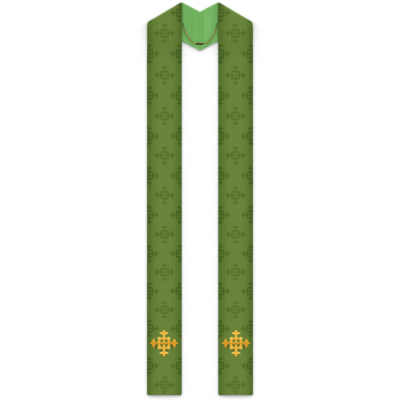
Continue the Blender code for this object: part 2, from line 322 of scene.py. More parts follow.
# a slow drift of colour over a piece
def makeDriftGroup():
    tree, given, out = newGroup(
        "colourDrift", {"Place": None, "Colour": white, "Scale": 8.0, "Amount": 0.06},
        {"Colour": white})
    drift = calc("SUBTRACT", noiseAt(given["Place"], given["Scale"], 3.0), 0.5)
    level = scaled(drift, scaled(given["Amount"], 2.0), 1.0)
    feed(out["Colour"], tinted(given["Colour"], greyOf(level)))
    return tree


# rubbed high spots and dull hollows of a plated metal
def makeMetalGroup():
    tree, given, out = newGroup(
        "rubbedMetal", {"Place": None, "Dull": white, "Bright": white, "Scale": 300.0},
        {"Colour": white, "Roughness": 0.0, "Height": 0.0})
    rubbed = scaled(noiseAt(given["Place"], given["Scale"], 3.0), 3.0, -1.0, clamp=True)
    dullest, polish = 0.54, -0.12
    feedAll(out, {"Colour": blendColours(rubbed, given["Dull"], given["Bright"]),
                  "Roughness": scaled(rubbed, polish, dullest),
                  "Height": noiseAt(given["Place"], (2500.0, 400.0, 400.0), 2.0)})
    return tree


weaveGroup = makeWeaveGroup()
paintedEdgeGroup = makeEdgeGroup()
driftGroup = makeDriftGroup()
metalGroup = makeMetalGroup()


def clothParts(finish, weftFace):
    # the cloth's own map, its weave, and the painted light and shade along its edges
    cloth = mapOf("cloth")
    weave = useGroup(weaveGroup, Cloth=cloth, WarpPitch=finish["warpPitch"],
                     WeftPitch=finish["weftPitch"], WeftFace=weftFace)
    paintedLightAndShade = useGroup(paintedEdgeGroup, Distance=attributeOf("edgeDistance"),
                      Fade=finish["edgeFade"], EdgeColour=finish["paintedEdgeShare"],
                      Contact=attributeOf("paintedContactShade"), ContactColour=finish["paintedContactShare"])
    return cloth, weave, paintedLightAndShade["Shade"]


def drifting(finish, place, colour):
    scale, amount = finish["drift"]
    return useGroup(driftGroup, Place=place, Colour=colour, Scale=scale, Amount=amount)["Colour"]


def threaded(finish, weave, colour):
    # some threads are lighter than others
    tone = finish["threadTone"]
    return tinted(colour, greyOf(scaled(weave["Tone"], tone, 1 - tone / 2)))


# ---- the damask: small crosses with a square ring, in rows that step sideways by half a repeat
damask = {
    "firstFigureY": 563.2 * mm,     # of the topmost figure in the middle of a front
    # half repeats from there down, in mm, as measured: they are uneven and close up at the hem
    "halfRepeats": [69.8, 72.7, 70.0, 68.1, 69.8, 65.0, 69.8, 65.7, 67.1, 66.0, 66.4, 62.3, 64.8,
                    63.5, 63.7, 63.7, 63.7, 64.3],
    "figureInward": {"left": 59.4 * mm, "right": 59.6 * mm},
    "columnStep": 53.1,             # in mm, as the figure's own sizes are
    "repeat": 135.0,
    "ringSide": 12.7,
    "ringUp": 12.0,
    "ringHalf": 2.1,
    "ringSquareness": 5.5,
    "ringFill": 0.17,
    "nodeRadius": 3.5,
    "nodeInside": 0.4,              # the ring's nodes sit this far inside it
    "centreRadius": 2.6,
    "upHead": 0.76,                 # how strongly the heads show beside the ring
    "sideHead": 0.90,
    "softness": 1.9,
    # half-widths of the figure's arms, in mm, against the distance from its middle
    "upArm": [(0.0, 1.2), (9.5, 1.2), (10.5, 6.0), (13.0, 6.0), (16.8, 1.6), (21.0, 1.5),
              (22.8, 7.0), (24.2, 11.6), (26.0, 10.6), (28.4, 5.8), (30.4, 2.8), (32.4, 0.0),
              (33.0, -2.0), (40.0, -2.0)],
    "sideArm": [(0.0, 1.2), (10.4, 1.2), (11.4, 2.2), (19.4, 2.0), (21.7, 5.0), (23.4, 9.4),
                (24.9, 12.4), (26.4, 9.4), (28.8, 4.8), (31.8, 2.4), (35.4, 0.0), (36.2, -2.0),
                (40.0, -2.0)],
    "armReach": 40.0,
    "armLeast": -2.0,
    "armWidest": 14.0,
    "ground": (0.1220, 0.1992, 0.0331, 1),
    "figureShare": (0.575, 0.655, 0.39, 1),
    "paintedSideFigureShare": (0.43, 0.52, 0.27, 1),
    "sideFrom": 13.0 * mm,          # near a side the figures are painted darker, part of the painted edge shade, fading out between these distances from a side
    "sideTo": 21.0 * mm,
    # painted shade: the front is painted darker towards its sides
    "paintedEdgeShare": (0.592, 0.686, 0.463, 1),
    # painted shade on a front's inner rim where it lies on the lining
    "paintedContactShare": (0.66, 0.88, 0.64, 1),
    "edgeFade": 40.0 * mm,
    "hemFade": 27.0 * mm,           # the hem is shaded as the cloth is this far from a side
    "innerSoft": 8.0 * mm,          # and the inner side itself as it is this far in
    "innerSlow": 0.4,               # with the shade's distances growing this slowly there
    "drift": (9.0, 0.05),           # its scale and amount
    "threadTone": 0.14,
    "warpPitch": 0.32 * mm,
    "weftPitch": 0.42 * mm,
    "threadRelief": (0.6, 0.06 * mm),     # strength and depth
    "figureRelief": (0.5, 0.08 * mm),
    "roughness": 0.68,
    "figureRougher": 0.1,
    "shader": {"Roughness": 0.7, "Specular IOR Level": 0.14, "Specular Tint": (0.85, 1.0, 0.7, 1),
               "Sheen Weight": 0.05, "Sheen Roughness": 0.45, "Sheen Tint": (0.7, 0.95, 0.4, 1)},
}


def makeFigureGroup():
    tree, given, out = newGroup("crossFigure", {"Place": None}, {"Figure": 0.0})
    place = axesOf(given["Place"])
    side, up = calc("ABSOLUTE", place["X"]), calc("ABSOLUTE", place["Y"])
    least, tall = damask["armLeast"], damask["armWidest"] - damask["armLeast"]

    def inside(margin, strength=1.0):
        return scaled(scaled(margin, 1 / damask["softness"], 0.5, clamp=True), strength)

    def arm(points, outwards, sideways, strength):
        curve = [(x / damask["armReach"], (y - least) / tall) for x, y in points]
        share = calc("DIVIDE", outwards, damask["armReach"], clamp=True)
        reach = scaled(curved(share, curve), tall, least)
        return inside(calc("SUBTRACT", reach, sideways), strength)

    def disc(fromSide, radius):
        offset = calc("SUBTRACT", side, fromSide)
        far = calc("SQRT", scaled(offset, offset, scaled(up, up)))
        return inside(calc("SUBTRACT", radius, far))

    square = damask["ringSquareness"]
    even = scaled(up, damask["ringSide"] / damask["ringUp"])
    around = calc("ADD", calc("POWER", side, square), calc("POWER", even, square))
    around = calc("POWER", around, 1 / square)
    fromRing = calc("SUBTRACT", around, damask["ringSide"])
    parts = [inside(calc("SUBTRACT", damask["ringHalf"], calc("ABSOLUTE", fromRing))),
             inside(scaled(fromRing, -1.0), damask["ringFill"]),
             arm(damask["upArm"], up, side, damask["upHead"]),
             arm(damask["sideArm"], side, up, damask["sideHead"]),
             disc(0.0, damask["centreRadius"]),
             disc(damask["ringSide"] - damask["nodeInside"], damask["nodeRadius"])]
    figure = parts[0]
    for part in parts[1:]:
        figure = calc("MAXIMUM", figure, part)
    feed(out["Figure"], figure)
    return tree


def makeDamaskGroup(figureGroup):
    tree, given, out = newGroup("steppedRepeat", {"Repeat": None}, {"Figure": 0.0})
    place = axesOf(given["Repeat"])
    half = damask["repeat"] / 2

    def column(sideways, upwards):
        wrapped = calc("WRAP", upwards, half, -half)
        point = outputsOf(newNode("ShaderNodeCombineXYZ"), X=sideways, Y=wrapped, Z=0.0)[0]
        return useGroup(figureGroup, Place=point)["Figure"]

    middle = column(place["X"], place["Y"])
    stepped = calc("SUBTRACT", calc("ABSOLUTE", place["X"]), damask["columnStep"])
    edges = column(stepped, calc("ADD", place["Y"], half))
    feed(out["Figure"], calc("MAXIMUM", middle, edges))
    return tree


def makeDamaskMaterial(repeatGroup):
    material, shader = newMaterial("greenDamask", damask["ground"], damask["shader"])
    figure = useGroup(repeatGroup, Repeat=mapOf("repeat"))["Figure"]
    cloth, weave, paintedLightAndShade = clothParts(damask, figure)
    # near a side the figures are painted darker, part of the painted edge shade
    fromSide = calc("SUBTRACT", attributeOf("edgeDistance"), damask["sideFrom"])
    toMiddle = calc("DIVIDE", fromSide, damask["sideTo"] - damask["sideFrom"], clamp=True)
    figureColour = blendColours(toMiddle, damask["paintedSideFigureShare"], damask["figureShare"])
    patterned = tinted(damask["ground"], blendColours(figure, white, figureColour))
    drifted = drifting(damask, cloth, tinted(patterned, paintedLightAndShade))
    relief = bumpOf(figure, damask["figureRelief"])
    feedAll(shader, {
        "Base Color": threaded(damask, weave, drifted),
        "Roughness": scaled(figure, damask["figureRougher"], damask["roughness"]),
        "Normal": bumpOf(weave["Height"], damask["threadRelief"], Normal=relief)})
    return material


# ---- the satin lining
satin = {
    "colour": (0.142, 0.394, 0.096, 1),
    # bright is painted sheen on the ridges, dark is painted shade in the troughs
    "bright": (0.190, 0.441, 0.124, 1),
    "dark": (0.116, 0.348, 0.075, 1),
    # painted light: the lining is painted lighter towards its edges, and painted shade where a
    # front's edge lies on it
    "paintedEdgeShare": (1.19, 1.11, 1.24, 1),
    "paintedContactShare": (0.82, 0.95, 0.79, 1),
    "edgeFade": 9.0 * mm,
    "streaks": (90.0, 3.0, 1.0),
    # how much the streaks add to the painted sheen
    "streakShine": 0.5,
    "drift": (14.0, 0.04),
    "threadTone": 0.12,
    "warpPitch": 0.2 * mm,
    "weftPitch": 0.26 * mm,
    "threadRelief": (0.5, 0.03 * mm),
    "roughness": 0.57,
    "streakSmoother": -0.12,
    "shader": {"Roughness": 0.52, "Specular IOR Level": 0.22, "Specular Tint": (0.8, 1.0, 0.75, 1),
               "Anisotropic": 0.4, "Sheen Weight": 0.06, "Sheen Roughness": 0.4,
               "Sheen Tint": (0.7, 1.0, 0.6, 1)},
}


def makeSatinMaterial():
    material, shader = newMaterial("greenSatin", satin["colour"], satin["shader"])
    cloth, weave, paintedLightAndShade = clothParts(satin, 0.0)
    # painted sheen: the satin is painted lighter along its ridges and streaks, and painted darker in
    # its troughs
    streaks = noiseAt(objectPlace(), satin["streaks"], 2.0)
    paintedStreakSheen = scaled(streaks, satin["streakShine"], -satin["streakShine"] / 2)
    paintedSheen = calc("ADD", attributeOf("ridge"), paintedStreakSheen)
    paintedRidgeSheen = blendColours(scaled(paintedSheen, 1.0, clamp=True), satin["colour"], satin["bright"])
    base = blendColours(scaled(paintedSheen, -1.0, clamp=True), paintedRidgeSheen, satin["dark"])
    drifted = drifting(satin, cloth, tinted(base, paintedLightAndShade))
    feedAll(shader, {
        "Base Color": threaded(satin, weave, drifted),
        "Roughness": scaled(streaks, satin["streakSmoother"], satin["roughness"]),
        "Normal": bumpOf(weave["Height"], satin["threadRelief"])})
    return material


# ---- gold embroidery thread, laid in satin stitch
goldThread = {
    "pale": (0.80, 0.55, 0.098, 1),
    "yellow": (0.88, 0.478, 0.042, 1),
    "deep": (0.64, 0.27, 0.003, 1),
    "spread": 0.22,                 # how much the threads of one band differ
    "stitchPitch": 0.6 * mm,
    "filament": 0.12 * mm,
    "twist": 1.5,
    "drift": (60.0, 0.06),
    "paintedGrooveShade": 0.82,                 # how light a thread is painted where it meets the next one, painted shade in the groove
    "paintedCrestLight": 0.25,                  # and how much lighter its crest is painted, a painted highlight
    "relief": (0.5, 0.03 * mm),
    "roughness": 0.56,
    "filamentSmoother": -0.12,
    "shader": {"Roughness": 0.5, "Specular IOR Level": 0.36, "Specular Tint": (1.0, 0.8, 0.42, 1),
               "Sheen Weight": 0.08, "Sheen Roughness": 0.3, "Sheen Tint": (1.0, 0.8, 0.3, 1)},
}


def makeGoldMaterial():
    material, shader = newMaterial("goldThread", goldThread["yellow"], goldThread["shader"])
    band = mapOf("band")
    place = axesOf(band)
    stitch = calc("DIVIDE", place["X"], goldThread["stitchPitch"])
    each = randomOf(calc("ROUND", stitch))
    # the filaments twist round each thread
    count = calc("DIVIDE", place["Y"], goldThread["filament"] * 2)
    filaments = rounds(calc("ADD", count, scaled(stitch, goldThread["twist"])))
    # a band's tone, partly painted sheen, spread a little at random from thread to thread
    tone = calc("ADD", attributeOf("tone"), -goldThread["spread"] / 2)
    warm = scaled(each, goldThread["spread"], tone, clamp=True)
    base = blendColours(scaled(warm, 2.0, clamp=True), goldThread["pale"], goldThread["yellow"])
    base = blendColours(scaled(warm, 2.0, -1.0, clamp=True), base, goldThread["deep"])
    # painted shade between the stitches and a painted highlight on each crest
    level = scaled(rounds(stitch, "COSINE"), goldThread["paintedCrestLight"], goldThread["paintedGrooveShade"])
    feedAll(shader, {
        "Base Color": tinted(drifting(goldThread, band, base), greyOf(level)),
        "Roughness": scaled(filaments, goldThread["filamentSmoother"], goldThread["roughness"]),
        "Normal": bumpOf(filaments, goldThread["relief"])})
    return material


# ---- the plated metals and the sewing threads
metals = {
    "copper": {"dull": (0.38, 0.155, 0.09, 1), "bright": (0.64, 0.33, 0.21, 1),
               "paintedShadeColour": (0.14, 0.08, 0.046, 1), "edge": (0.95, 0.75, 0.6, 1), "scale": 420.0},
    "darkCopper": {"dull": (0.058, 0.013, 0.012, 1), "bright": (0.080, 0.018, 0.016, 1),
                   "paintedShadeColour": (0.02, 0.01, 0.008, 1), "edge": (0.42, 0.2, 0.15, 1), "scale": 260.0},
}
scratchRelief = (0.3, 0.02 * mm)
threadColours = {"satinThread": (0.10, 0.30, 0.07, 1), "damaskThread": (0.085, 0.145, 0.02, 1)}
threadFinish = {
    "drift": (90.0, 0.15),
    "ply": (4000.0, 4000.0, 4000.0),
    "relief": (0.5, 0.04 * mm),
    "shader": {"Roughness": 0.6, "Sheen Weight": 0.1},
}


def makeMetalMaterial(name):
    finish = metals[name]
    material, shader = newMaterial(name, finish["bright"], {
        "Roughness": 0.5, "Metallic": 0.85, "Specular Tint": finish["edge"]})
    rubbed = useGroup(metalGroup, Place=objectPlace(), Dull=finish["dull"],
                      Bright=finish["bright"], Scale=finish["scale"])
    feedAll(shader, {
        # painted shade: the eye rings, the links near each eye and those beside the clasp are painted
        # darker
        "Base Color": blendColours(attributeOf("paintedMetalShade"), rubbed["Colour"], finish["paintedShadeColour"]),
        "Roughness": rubbed["Roughness"],
        "Normal": bumpOf(rubbed["Height"], scratchRelief)})
    return material


def makeThreadMaterial(name):
    colour = threadColours[name]
    material, shader = newMaterial(name, colour, threadFinish["shader"])
    place = objectPlace()
    ply = noiseAt(place, threadFinish["ply"], 1.0)
    feedAll(shader, {"Base Color": drifting(threadFinish, place, colour),
                     "Normal": bumpOf(ply, threadFinish["relief"])})
    return material


damaskMaterial = makeDamaskMaterial(makeDamaskGroup(makeFigureGroup()))
satinMaterial = makeSatinMaterial()
goldMaterial = makeGoldMaterial()
copperMaterial = makeMetalMaterial("copper")
darkCopperMaterial = makeMetalMaterial("darkCopper")
satinThreadMaterial = makeThreadMaterial("satinThread")
damaskThreadMaterial = makeThreadMaterial("damaskThread")
print("materials made")


# ---- the chain across the neck: two runs of oval links, and a screw clasp that joins them
chain = {
    "diameter": 3.0 * mm,
    "linkLength": 4.6 * mm,
    "wire": 0.9 * mm,
    "pitch": 2.85 * mm,
    "roll": math.radians(45),
    "lowered": 0.45 * mm,          # the links lie this much lower than a round cord would
    "rise": 16.0 * mm,             # each run climbs to the clasp's axis over this
    "eyeRadius": 1.9 * mm,
    "eyeWire": 0.9 * mm,
    "paintedShadeReach": 26.0 * mm,     # the metal is painted in shade this far from each eye, where a front's edge shades it
    "paintedShadeAtClasp": 0.35,          # and a little beside the clasp, painted shade on the climbing links that catch the light there
    # each run's own points, from its eye to the clasp
    "left": [(-58.4, 594.3), (-56.4, 586.5), (-53.2, 576.2), (-49.8, 568.0), (-44.4, 559.0),
             (-38.4, 549.2), (-32.4, 540.6), (-25.6, 533.2), (-20.0, 528.4), (-15.1, 526.9)],
    "right": [(58.2, 594.3), (55.8, 587.4), (54.0, 579.4), (51.8, 570.6), (48.2, 562.4),
              (40.6, 549.6), (34.6, 541.2), (26.8, 533.6), (19.4, 528.4), (14.1, 526.9)],
}
clasp = {
    "centre": (-1.4 * mm, 526.62 * mm, cut["thick"] + cut["seamGap"] + 2.8 * mm),
    "girth": 1.16,                 # times the turned outline's radii
    "turns": 40,
    "knurlDepth": 0.16 * mm,
    "knurlFrom": 2.4,              # mm from the middle
    "knurlTo": 7.4,
    "loopRadius": 1.25 * mm,
    "loopWire": 0.7 * mm,
    "loopsAt": (-13.7 * mm, 14.0 * mm),
    # half of the turned outline, in mm: radius, distance from the middle
    "outline": [(0.0, 12.6), (0.9, 12.6), (1.2, 12.5), (1.9, 12.4), (2.4, 12.1),
                (2.65, 11.6), (2.7, 11.0), (2.7, 9.6), (2.3, 9.4), (2.3, 8.9), (2.7, 8.7),
                (2.8, 8.2), (2.7, 7.7), (2.6, 7.4), (2.6, 6.2), (2.6, 5.0), (2.6, 3.6), (2.6, 2.4),
                (2.7, 2.1), (2.8, 1.6), (2.7, 1.0), (2.5, 0.7), (2.2, 0.5), (2.2, 0.2)],
}


def smoothRoute(points, spacing):
    # evenly spaced points on a smooth curve through the run's own points
    ends = [points[0] * 2 - points[1]] + points + [points[-1] * 2 - points[-2]]
    fine = []
    steps = 24
    for i in range(1, len(ends) - 2):
        before, here, there, after = ends[i - 1:i + 3]
        for k in range(steps):
            t = k / steps
            fine.append(0.5 * (2 * here + (there - before) * t
                               + (2 * before - 5 * here + 4 * there - after) * t ** 2
                               + (3 * here - before - 3 * there + after) * t ** 3))
    fine.append(points[-1])
    run = [0.0]
    for i in range(1, len(fine)):
        run.append(run[-1] + (fine[i] - fine[i - 1]).length)
    count = max(2, round(run[-1] / spacing))
    route, i = [], 0
    for k in range(count + 1):
        target = run[-1] * k / count
        while i < len(run) - 2 and run[i + 1] < target:
            i += 1
        share = (target - run[i]) / (run[i + 1] - run[i])
        route.append(mix(fine[i], fine[i + 1], min(share, 1.0)))
    return route


def addRing(shape, radius, wire, matrix, steps, sides, stretch=0.0):
    # a closed wire ring in its own plane, drawn out along its first axis
    section = bmesh.ops.create_circle(
        shape, segments=sides, radius=wire / 2,
        matrix=Matrix.Translation((radius, 0, 0)) @ Matrix.Rotation(math.pi / 2, 4, "X"))
    edges = list({edge for vert in section["verts"] for edge in vert.link_edges})
    before = set(shape.verts) - set(section["verts"])
    bmesh.ops.spin(shape, geom=section["verts"] + edges, cent=(0, 0, 0), axis=(0, 0, 1),
                   angle=2 * math.pi, steps=steps, use_merge=True)
    ring = [vert for vert in shape.verts if vert not in before]
    bmesh.ops.rotate(shape, verts=ring, cent=(0, 0, 0),
                     matrix=Matrix.Rotation(math.pi / steps, 3, "Z"))
    for vert in ring:
        vert.co.x += stretch if vert.co.x > 0 else -stretch
    bmesh.ops.transform(shape, matrix=matrix, verts=ring)


def makeLinkMesh():
    link = bmesh.new()
    width = chain["diameter"]
    addRing(link, width / 2 - chain["wire"] / 2, chain["wire"], Matrix.Identity(4), steps=16,
            sides=6, stretch=(chain["linkLength"] - width) / 2)
    bmesh.ops.recalc_face_normals(link, faces=link.faces)
    return meshOf("chainLink", link)


def chainRoute(side):
    onLining = cut["thick"] + cut["seamGap"] + chain["diameter"] / 2 - chain["lowered"]
    points = [Vector((x * mm, y * mm, 0)) for x, y in chain[side]]
    for point in points:
        flat = (point - points[-1]).to_2d()
        risen = 1 - smoothStep(flat.length, 0, chain["rise"])
        point.z = mix(onLining, clasp["centre"][2], risen)
    return smoothRoute(points, chain["pitch"])


def makeChainRun(side, linkMesh):
    route = chainRoute(side)
    run = bmesh.new()
    paintedShadeLayer = run.verts.layers.float.new("paintedMetalShade")
    for i in range(len(route) - 1):
        along = (route[i + 1] - route[i]).normalized()
        sideways = Vector((0, 0, 1)).cross(along).normalized()
        up = along.cross(sideways)
        turn = Matrix((along, sideways, up)).transposed().to_4x4()
        roll = Matrix.Rotation(chain["roll"] if i % 2 else -chain["roll"], 4, "X")
        middle = Matrix.Translation((route[i] + route[i + 1]) / 2)
        link = linkMesh.copy()
        link.transform(middle @ turn @ roll)
        laid = len(run.verts)
        run.from_mesh(link)
        bpy.data.meshes.remove(link)
        run.verts.ensure_lookup_table()
        # painted shade, full at the eye, fading along the run, and a little beside the clasp
        fromEye, fromClasp = i * chain["pitch"], (len(route) - 2 - i) * chain["pitch"]
        dark = max(1 - smoothStep(fromEye, 0, chain["paintedShadeReach"]),
                   chain["paintedShadeAtClasp"] * (1 - smoothStep(fromClasp, 0, chain["rise"])))
        for vert in run.verts[laid:]:
            vert[paintedShadeLayer] = dark
    return addPiece("chainRun" + side.title(), run, copperMaterial), route


def makeClasp():
    shape = bmesh.new()
    half = clasp["outline"]
    outline = half + [(radius, -along) for radius, along in reversed(half)]
    girth = clasp["girth"] * mm
    verts = [shape.verts.new((radius * girth, 0, along * mm)) for radius, along in outline]
    edges = [shape.edges.new(pair) for pair in zip(verts, verts[1:])]
    bmesh.ops.spin(shape, geom=verts + edges, cent=(0, 0, 0), axis=(0, 0, 1),
                   angle=2 * math.pi, steps=clasp["turns"], use_merge=True)
    bmesh.ops.remove_doubles(shape, verts=shape.verts, dist=0.005 * mm)
    for vert in shape.verts:
        along = abs(vert.co.z) / mm
        if clasp["knurlFrom"] < along < clasp["knurlTo"]:
            step = round(math.atan2(vert.co.y, vert.co.x) / (2 * math.pi / clasp["turns"]))
            out = Vector((vert.co.x, vert.co.y, 0)).normalized()
            vert.co += out * clasp["knurlDepth"] * (1 if step % 2 else -1) / 2
    quarterTurn = Matrix.Rotation(math.pi / 2, 4, "Y")
    for loopAt in clasp["loopsAt"]:
        place = Matrix.Translation((0, 0, loopAt)) @ quarterTurn
        addRing(shape, clasp["loopRadius"], clasp["loopWire"], place, steps=18, sides=8)
    place = Matrix.Translation(clasp["centre"]) @ quarterTurn
    bmesh.ops.transform(shape, matrix=place, verts=shape.verts)
    bmesh.ops.recalc_face_normals(shape, faces=shape.faces)
    return addPiece("screwClasp", shape, darkCopperMaterial, smoothAngle=35)


linkMesh = makeLinkMesh()
claspPiece = makeClasp()
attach(claspPiece, "root")
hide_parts("chain_clasp")
for side in halves:
    piece, route = makeChainRun(side, linkMesh)
    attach(piece, "root")
    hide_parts("chain_" + side)
    length = sum((b - a).length for a, b in zip(route, route[1:]))
    tuple(route[0])
bpy.data.meshes.remove(linkMesh)
print("chain laid")


# ---- where a point of the strip lies. All of this is the left half; the right one is mirrored.
slope = cut["foldSlope"]
alongFold = Vector((-math.cos(slope), -math.sin(slope), 0))
pastFold = Vector((-math.sin(slope), math.cos(slope), 0))
foldLength = cut["width"] / math.cos(slope)
bendLength = math.pi * (cut["foldInner"] + cut["thick"] / 2)
bendDrift = bendLength * math.tan(slope)
bendRun = bendLength / math.cos(slope)
foldStart = Vector((
    -cut["gap"] / 2 + math.cos(slope) * bendDrift,
    cut["reach"] / 2 + cut["peakDrop"] - math.cos(slope) * (cut["foldInner"] + cut["thick"])
    + math.sin(slope) * ((cut["neckNarrowing"] + bendDrift) / 2 + cut["cornerEase"]),
    0))


def foldPoint(share, turned):
    ease = cut["cornerEase"] * math.sin(math.pi * turned)
    narrowing = mix(cut["neckNarrowing"], 0.0, turned)
    along = mix(narrowing + ease, foldLength - ease, share)
    return foldStart + alongFold * (along + bendDrift * turned)


backCorner = foldPoint(1.0, 0.0)
backEdgeSlope = (backCorner.y - cut["seamLowY"]) / -backCorner.x


def pastBackEdge(x, y):
    edgeY = cut["seamLowY"] - backEdgeSlope * x
    return (edgeY - y) / math.hypot(1.0, backEdgeSlope)


def frontUnderside(x, y, fromFold):
    onBack = 1 - smoothStep(pastBackEdge(x, y), cut["stepStart"], cut["stepEnd"])
    spring = 2 * cut["foldInner"] - cut["layerGap"]
    return (cut["thick"] + cut["layerGap"]) * onBack \
        + spring * (1 - smoothStep(fromFold, 0, cut["settle"]))


def frontRun(share):
    return foldPoint(share, 1.0).y + cut["reach"] / 2


def seamPoint(share):
    return Vector((-cut["seamGap"] / 2, mix(cut["seamTopY"], cut["seamLowY"], share), 0))


def backRun(share):
    return (foldPoint(share, 0.0) - seamPoint(share)).length


def fromFold(inward, row):
    return max(row - 2, 0) * frontRun(inward / cut["width"]) * math.cos(slope)


def fromHem(row):
    return (3 - row) * frontRun(0.0)


def shoulderInset(inward, row):
    # the outer corner of the fold is rounded, in both layers
    outward = smoothStep(inward, cut["width"] - cut["roundAcross"], cut["width"])
    away = (row - 2) * frontRun(1.0) if row > 2 else max(1 - row, 0) * backRun(1.0)
    return cut["shoulderRound"] * outward * (1 - min(away / cut["roundDown"], 1.0)) ** 2


def layPoint(inward, row, height):
    # inward from the inner edge; row 0 to 1 is the back part, 1 to 2 the fold, 2 to 3 the front
    inward -= shoulderInset(inward, row)
    share = inward / cut["width"]
    if row <= 1:
        point = mix(seamPoint(share), foldPoint(share, 0.0), row)
        point.y += cut["neckRaise"] * (1 - share) * (1 - row ** 4)
        point.z = cut["thick"] - height
        return point
    if row < 2:
        angle = math.pi * (row - 1)
        radius = cut["foldInner"] + height
        point = foldPoint(share, row - 1) + pastFold * (radius * math.sin(angle))
        point.z = cut["thick"] + cut["foldInner"] - radius * math.cos(angle)
        return point
    x = -cut["gap"] / 2 - inward
    y = mix(foldPoint(share, 1.0).y, cut["hemDraw"] - cut["reach"] / 2, row - 2)
    return Vector((x, y, frontUnderside(x, y, fromFold(inward, row)) + height))


def alongStrip(inward, row):
    # metres along the cloth from the hem, kept the same over the fold
    share = inward / cut["width"]
    if row >= 2:
        return (3 - row) * frontRun(share)
    if row >= 1:
        return frontRun(share) + (2 - row) * bendRun
    return frontRun(share) + bendRun + (1 - row) * backRun(share)


def cornerInset(toHem):
    corner = cut["hemCorner"]
    if toHem >= corner:
        return 0.0
    return corner - math.sqrt(corner ** 2 - (corner - max(toHem, 0.0)) ** 2)


# ---- soft troughs and ridges pressed into the cloth, each with its own place and size in mm:
# inward and up to its middle, up along the cloth from the hem, then length, width, height and
# how far it leans inward
creases = {
    "left": [
        (38, 1215, 95, 20, 0.30, 10), (82, 1130, 130, 26, -0.28, -14), (24, 985, 85, 17, -0.22, 4),
        (70, 905, 160, 30, 0.26, 12), (96, 760, 70, 15, -0.25, -5), (44, 660, 120, 28, -0.24, 9),
        (78, 520, 100, 22, 0.22, -16), (30, 415, 75, 18, 0.24, 6), (88, 300, 90, 19, -0.26, 8),
        (52, 78, 60, 24, 0.22, -7), (14, 1300, 28, 8, 0.30, 8), (101, 1232, 30, 9, 0.26, -7),
    ],
    "right": [
        (46, 1190, 110, 22, -0.26, -12), (90, 1105, 80, 17, 0.28, 6), (28, 1020, 120, 21, 0.24, 8),
        (66, 860, 140, 29, -0.27, -15), (22, 735, 65, 14, 0.22, 5), (94, 640, 110, 23, 0.25, -8),
        (50, 545, 90, 24, -0.22, 13), (80, 395, 125, 25, -0.24, 7), (34, 270, 70, 16, 0.23, -6),
        (74, 62, 48, 20, -0.22, 9), (16, 1296, 26, 9, 0.26, 6), (98, 1236, 34, 8, 0.28, -9),
    ],
}
# upright ridges and troughs in the lining across the neck, in mm in the stole's own frame:
# across, width, height, lower end and upper end
neckRidges = [
    (-52, 7, 0.20, 575, 665), (-43, 8, -0.10, 560, 640), (-29, 6, -0.24, 530, 650),
    (-21, 4, -0.12, 535, 640), (-15, 5, 0.12, 515, 620), (-7, 6, -0.16, 510, 640),
    (6.5, 4, -0.16, 510, 640), (20, 7, 0.36, 520, 660), (31, 11, 0.26, 540, 650),
    (43, 8, 0.18, 595, 672), (49, 6, -0.06, 560, 650), (56, 5, 0.20, 570, 665),
]
# the lining's painted sheen is full on a ridge this high
tallestRidge = 0.3 * mm
ridgeReach = 1.2     # a ridge dies away at this share of the way to its ends


def creaseHeight(side, inward, up):
    total = 0.0
    for sideways, upwards, long, wide, high, lean in creases[side]:
        offset = up - upwards * mm
        if abs(offset) < long * mm:
            middle = (sideways + lean * offset / (long * mm)) * mm
            total += high * mm * softHump(offset, long * mm) * softHump(inward - middle, wide * mm)
    return total


def neckRidgeHeight(x, y):
    total = 0.0
    for across, wide, high, low, top in neckRidges:
        middle, reach = (low + top) / 2 * mm, (top - low) / 2 * mm * ridgeReach
        total += high * mm * softHump(x - across * mm, wide * mm) * softHump(y - middle, reach)
    return total


def nearestEdge(inward, row):
    return max(min(inward, cut["width"] - inward, fromHem(row)), 0.0)


backNearness = 0.4     # the lower edge of the back part counts as nearer, so its shade is wider


def shadedEdge(inward, row):
    # the shade runs along the side edges, softer on the inner one, and faintly along the hem
    outer = (cut["width"] - inward) * (1.0 if row > 1 else backNearness)
    if row <= 2:
        return max(min(inward, outer), 0.0)
    inner = max(inward, damask["innerSlow"] * inward + damask["innerSoft"])
    return min(max(min(inner, outer), 0.0), damask["hemFade"] + max(fromHem(row), 0.0))


# how far the sewing draws the sides of a front in, and between which distances from the fold
sidesIn = {
    "innerLow": (0.65 * mm, 118 * mm, 138 * mm),       # from there down
    "innerNeck": (0.45 * mm, 55 * mm, 85 * mm),        # from there up
    "innerFold": (0.4 * mm, 0, 22 * mm),
    "outerShoulder": (0.3 * mm, 70 * mm, 130 * mm),
    "outerAll": 0.45 * mm,
}
# painted shade where a front's inner edge lies on the lining across the neck, between two distances
# each
paintedContactShade = {
    "weakestShade": 0.45,              # at the top, against 1 lower down
    "shadeWeakens": (590 * mm, 625 * mm),
    "onLining": (-1 * mm, 3.2 * mm),
    "onFace": (0.4 * mm, 4 * mm),
    "starts": (500 * mm, 512 * mm),
}


def sidesDrawn(row):
    # how far the inner and the outer side come in; the middle of the neck stays out
    run = frontRun(0.0) * max(row - 2, 0)
    deep, *span = sidesIn["innerLow"]
    inner, outer = deep * smoothStep(run, *span), sidesIn["outerAll"]
    for name in ("innerNeck", "innerFold"):
        deep, *span = sidesIn[name]
        inner += deep * (1 - smoothStep(run, *span))
    deep, *span = sidesIn["outerShoulder"]
    outer += deep * (1 - smoothStep(run, *span))
    share = smoothStep(row, 1, 2)
    return inner * share, outer * share


